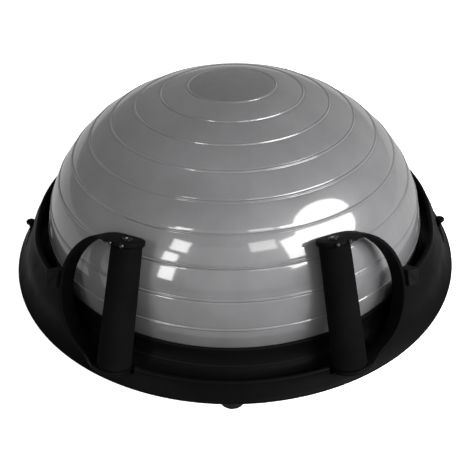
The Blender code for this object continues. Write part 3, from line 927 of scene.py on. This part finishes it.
def pale_floor():
    """A white floor: bright to the camera, dimmer where the trainer mirrors it, clear from below."""
    mesh = bpy.data.meshes.new("floor")
    corners = [(-FLOOR_REACH, -FLOOR_REACH, 0), (FLOOR_REACH, -FLOOR_REACH, 0), (FLOOR_REACH, FLOOR_REACH, 0)]
    mesh.from_pydata([*corners, (-FLOOR_REACH, FLOOR_REACH, 0)], [], [(0, 1, 2, 3)])
    look = Look("pale_floor", (0.86, 0.86, 0.86), 0.75)
    look.colour(look.blend_colour(look.noise(3, 2), (0.85, 0.85, 0.85), (0.87, 0.87, 0.87)))
    look.set_input("Emission Color", (1.0, 1.0, 1.0, 1.0))
    look.set_input("Emission Strength", FLOOR_GLOW)
    nodes = look.tree.nodes
    dim, mirrored = nodes.new("ShaderNodeBsdfDiffuse"), nodes.new("ShaderNodeEmission")
    dim.inputs["Color"].default_value = (FLOOR_BOUNCE, FLOOR_BOUNCE, FLOOR_BOUNCE, 1.0)
    mirrored.inputs["Strength"].default_value = FLOOR_MIRRORED
    path = nodes.new("ShaderNodeLightPath").outputs
    behind = nodes.new("ShaderNodeNewGeometry").outputs["Backfacing"]
    surface = look.blend_shader(path["Is Glossy Ray"], dim.outputs["BSDF"], mirrored.outputs["Emission"])
    surface = look.blend_shader(path["Is Camera Ray"], surface, look.shader.outputs["BSDF"])
    surface = look.blend_shader(behind, surface, nodes.new("ShaderNodeBsdfTransparent").outputs["BSDF"])
    look.link(surface, nodes["Material Output"].inputs["Surface"])
    mesh.materials.append(look.material)
    made = bpy.data.objects.new("floor", mesh)
    bpy.context.scene.collection.objects.link(made)


def soft_box(name, place, wide, tall, power, shape="RECTANGLE", mirrored=True):
    """A flat lamp that faces the dome; the polished skin shows it only if it is mirrored."""
    lamp = bpy.data.lights.new(name, "AREA")
    lamp.shape = shape
    lamp.size = wide
    if shape == "RECTANGLE":
        lamp.size_y = tall
    lamp.energy = power
    made = bpy.data.objects.new(name, lamp)
    made.location = place
    made.visible_glossy = mirrored
    made.rotation_mode = "QUATERNION"
    made.rotation_quaternion = (Vector(place) - Vector(DOME_MIDDLE)).to_track_quat("Z", "Y")
    bpy.context.scene.collection.objects.link(made)


def studio():
    """An even glow, white to the camera, with soft boxes where the dome mirrors them and three fills."""
    world = bpy.data.worlds.new("studio")
    world.use_nodes = True
    nodes, links = world.node_tree.nodes, world.node_tree.links
    direction = nodes.new("ShaderNodeTexCoord").outputs["Generated"]
    split = nodes.new("ShaderNodeSeparateXYZ")
    links.new(direction, split.inputs["Vector"])
    glow = nodes.new("ShaderNodeMapRange")
    glow.interpolation_type = "SMOOTHSTEP"
    spans = {"From Min": 0.15, "From Max": 1.00, "To Min": HORIZON_GLOW, "To Max": OVERHEAD_GLOW}
    for socket, value in spans.items():
        glow.inputs[socket].default_value = value
    links.new(split.outputs["Z"], glow.inputs["Value"])
    seen = nodes.new("ShaderNodeMath")
    seen.operation = "MAXIMUM"
    links.new(glow.outputs["Result"], seen.inputs[0])
    links.new(nodes.new("ShaderNodeLightPath").outputs["Is Camera Ray"], seen.inputs[1])
    links.new(seen.outputs["Value"], nodes["Background"].inputs["Strength"])
    nodes["Background"].inputs["Color"].default_value = (1.0, 1.0, 1.0, 1.0)
    bpy.context.scene.world = world
    soft_box("main_soft_box", (1.405, -0.784, 1.077), 1.20, 1.20, 46, shape="DISK")
    soft_box("side_window", (1.060, -1.255, 1.058), 0.52, 0.66, 14)
    soft_box("small_window", (0.459, -1.337, 1.217), 0.42, 0.27, 2.2)
    soft_box("left_low_strip", (-0.993, -1.409, 0.671), 0.25, 0.54, 5.5)
    soft_box("left_high_strip", (-0.794, -1.251, 1.122), 0.29, 0.31, 3.4)
    soft_box("front_fill", (0.10, -2.10, 1.00), 2.40, 1.40, 4.5)
    soft_box("back_fill", (0.0, 2.30, 0.75), 1.80, 1.20, 9, mirrored=False)
    soft_box("under_fill", (0.0, -0.50, -1.40), 1.60, 1.60, 10, mirrored=False)
    bpy.context.scene.view_settings.view_transform = "Standard"


def camera():
    """A standing adult's view, looking down at the front from close by, with a slight roll."""
    lens = bpy.data.cameras.new("camera")
    lens.sensor_width = 36
    lens.lens = CAMERA_LENS
    forward = Vector((0, cos(CAMERA_PITCH), -sin(CAMERA_PITCH)))
    up = Vector((0, sin(CAMERA_PITCH), cos(CAMERA_PITCH)))
    right = Vector((1, 0, 0))
    across = cos(CAMERA_ROLL) * right - sin(CAMERA_ROLL) * up
    upward = sin(CAMERA_ROLL) * right + cos(CAMERA_ROLL) * up
    place = Matrix((across, upward, -forward)).transposed().to_4x4()
    place.translation = CAMERA_PLACE
    made = bpy.data.objects.new("camera", lens)
    made.matrix_world = Matrix.Rotation(CAMERA_TURN, 4, "Z") @ place
    bpy.context.scene.collection.objects.link(made)
    bpy.context.scene.camera = made


def main():
    plastic, vinyl, soft = black_plastic_look(), vinyl_look(), grip_look()
    rubber, steel = rubber_look(), steel_look()
    dress_nodes = {"valve_body": rubber, **{f"grip_core_{side}": plastic for side in SIDES}}
    for node, look in dress_nodes.items():
        frame["nodes"][node].data.materials.clear()
        frame["nodes"][node].data.materials.append(look)
    base_moulding(plastic)
    clamp_ring(plastic)
    platform(plastic)
    dome_skin(vinyl)
    shared_bow, front_grip, back_grip = bow_mesh(), grip_mesh(), grip_mesh(BACK_GRIP_SLIMMER)
    shared_screw = cap_screw_mesh()
    for side in SIDES:
        bow(side, shared_bow, plastic)
        grip(side, back_grip if side.startswith("back") else front_grip, soft)
        bracket(side, plastic)
        cap_screws(side, shared_screw, steel)
        grip_bolt(side, steel)
    feet(rubber, steel)
    band_posts(plastic)
    valve_plug(plastic)
    pale_floor()
    studio()
    camera()


main()
